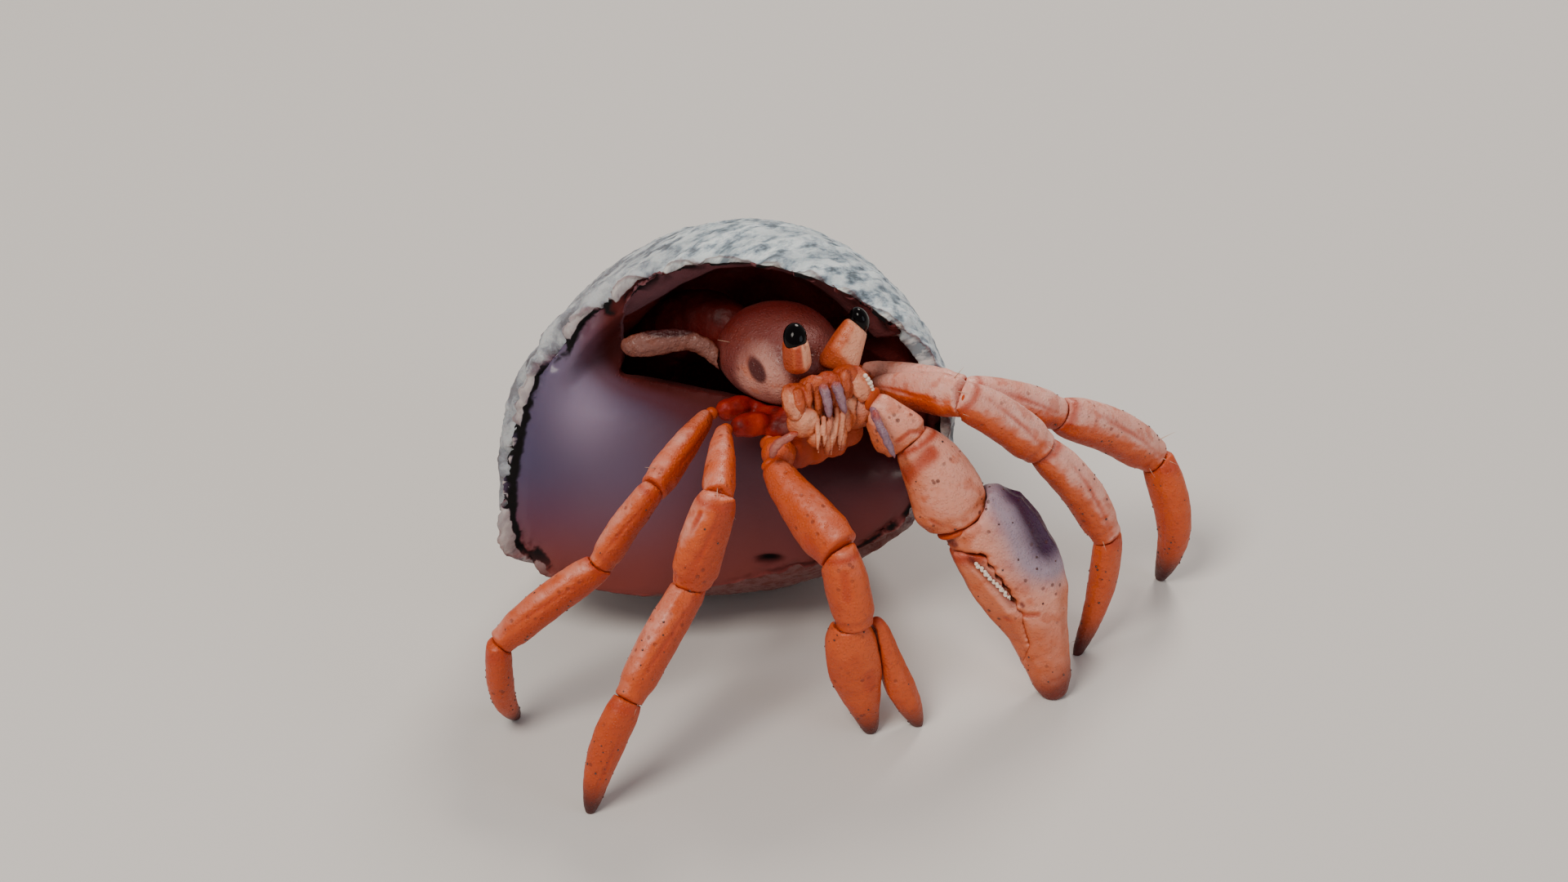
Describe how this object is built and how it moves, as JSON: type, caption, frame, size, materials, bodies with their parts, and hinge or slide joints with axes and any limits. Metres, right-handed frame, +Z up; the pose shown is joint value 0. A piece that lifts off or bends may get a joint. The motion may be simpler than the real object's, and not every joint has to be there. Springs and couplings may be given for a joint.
{
  "type": "hermit crab",
  "caption": "Young land hermit crab leaning out of a worn round snail shell, standing on spread walking legs and claws, a still life-size display model.",
  "frame": {"origin": "middle of the whole model's footprint, on the floor", "axes": "+Z up; the shell's mouth faces -Y; +X towards the crab's left side, where the larger claw is"},
  "size_m": [0.0318, 0.026, 0.0185],
  "materials": {
    "shell": "worn chalky shell, smooth and greyish lilac on the deck",
    "leg_cuticle": "thin satin orange exoskeleton",
    "claw_cuticle": "satin peach and lilac exoskeleton",
    "tip_cuticle": "satin orange exoskeleton with dark brown points",
    "shield_cuticle": "satin pinkish grey shield",
    "membrane": "moist soft skin",
    "cornea": "black gloss"
  },
  "bodies": {
    "root": {"right_front_leg_merus": "leg_cuticle", "right_front_leg_carpus": "leg_cuticle", "right_front_leg_propodus": "leg_cuticle", "right_front_leg_dactyl": "tip_cuticle", "right_rear_leg_merus": "leg_cuticle", "right_rear_leg_carpus": "leg_cuticle", "right_rear_leg_propodus": "leg_cuticle", "right_rear_leg_dactyl": "tip_cuticle", "left_front_leg_merus": "leg_cuticle", "left_front_leg_carpus": "leg_cuticle", "left_front_leg_propodus": "leg_cuticle", "left_front_leg_dactyl": "tip_cuticle", "left_rear_leg_merus": "leg_cuticle", "left_rear_leg_carpus": "leg_cuticle", "left_rear_leg_propodus": "leg_cuticle", "left_rear_leg_dactyl": "tip_cuticle", "big_claw_base": "claw_cuticle", "small_claw_base": "claw_cuticle", "big_claw_merus": "claw_cuticle", "big_claw_carpus": "claw_cuticle", "small_claw_merus": "claw_cuticle", "small_claw_carpus": "claw_cuticle", "small_claw_palm": "claw_cuticle", "big_claw_palm": "claw_cuticle", "big_claw_finger": "tip_cuticle", "small_claw_finger": "tip_cuticle", "right_small_leg": "leg_cuticle", "left_small_leg": "leg_cuticle", "right_eye": "cornea", "right_eyestalk": "leg_cuticle", "left_eye": "cornea", "left_eyestalk": "leg_cuticle", "right_maxilliped": "leg_cuticle", "right_palp": "leg_cuticle", "right_antennule": "shield_cuticle", "right_antenna_base": "leg_cuticle", "right_antenna": "shield_cuticle", "left_maxilliped": "leg_cuticle", "left_palp": "leg_cuticle", "left_antennule": "shield_cuticle", "left_antenna_base": "leg_cuticle", "left_antenna": "shield_cuticle", "carapace": "shield_cuticle", "trunk": "membrane", "abdomen": "membrane", "shell": "shell"}
  },
  "joints": []
}
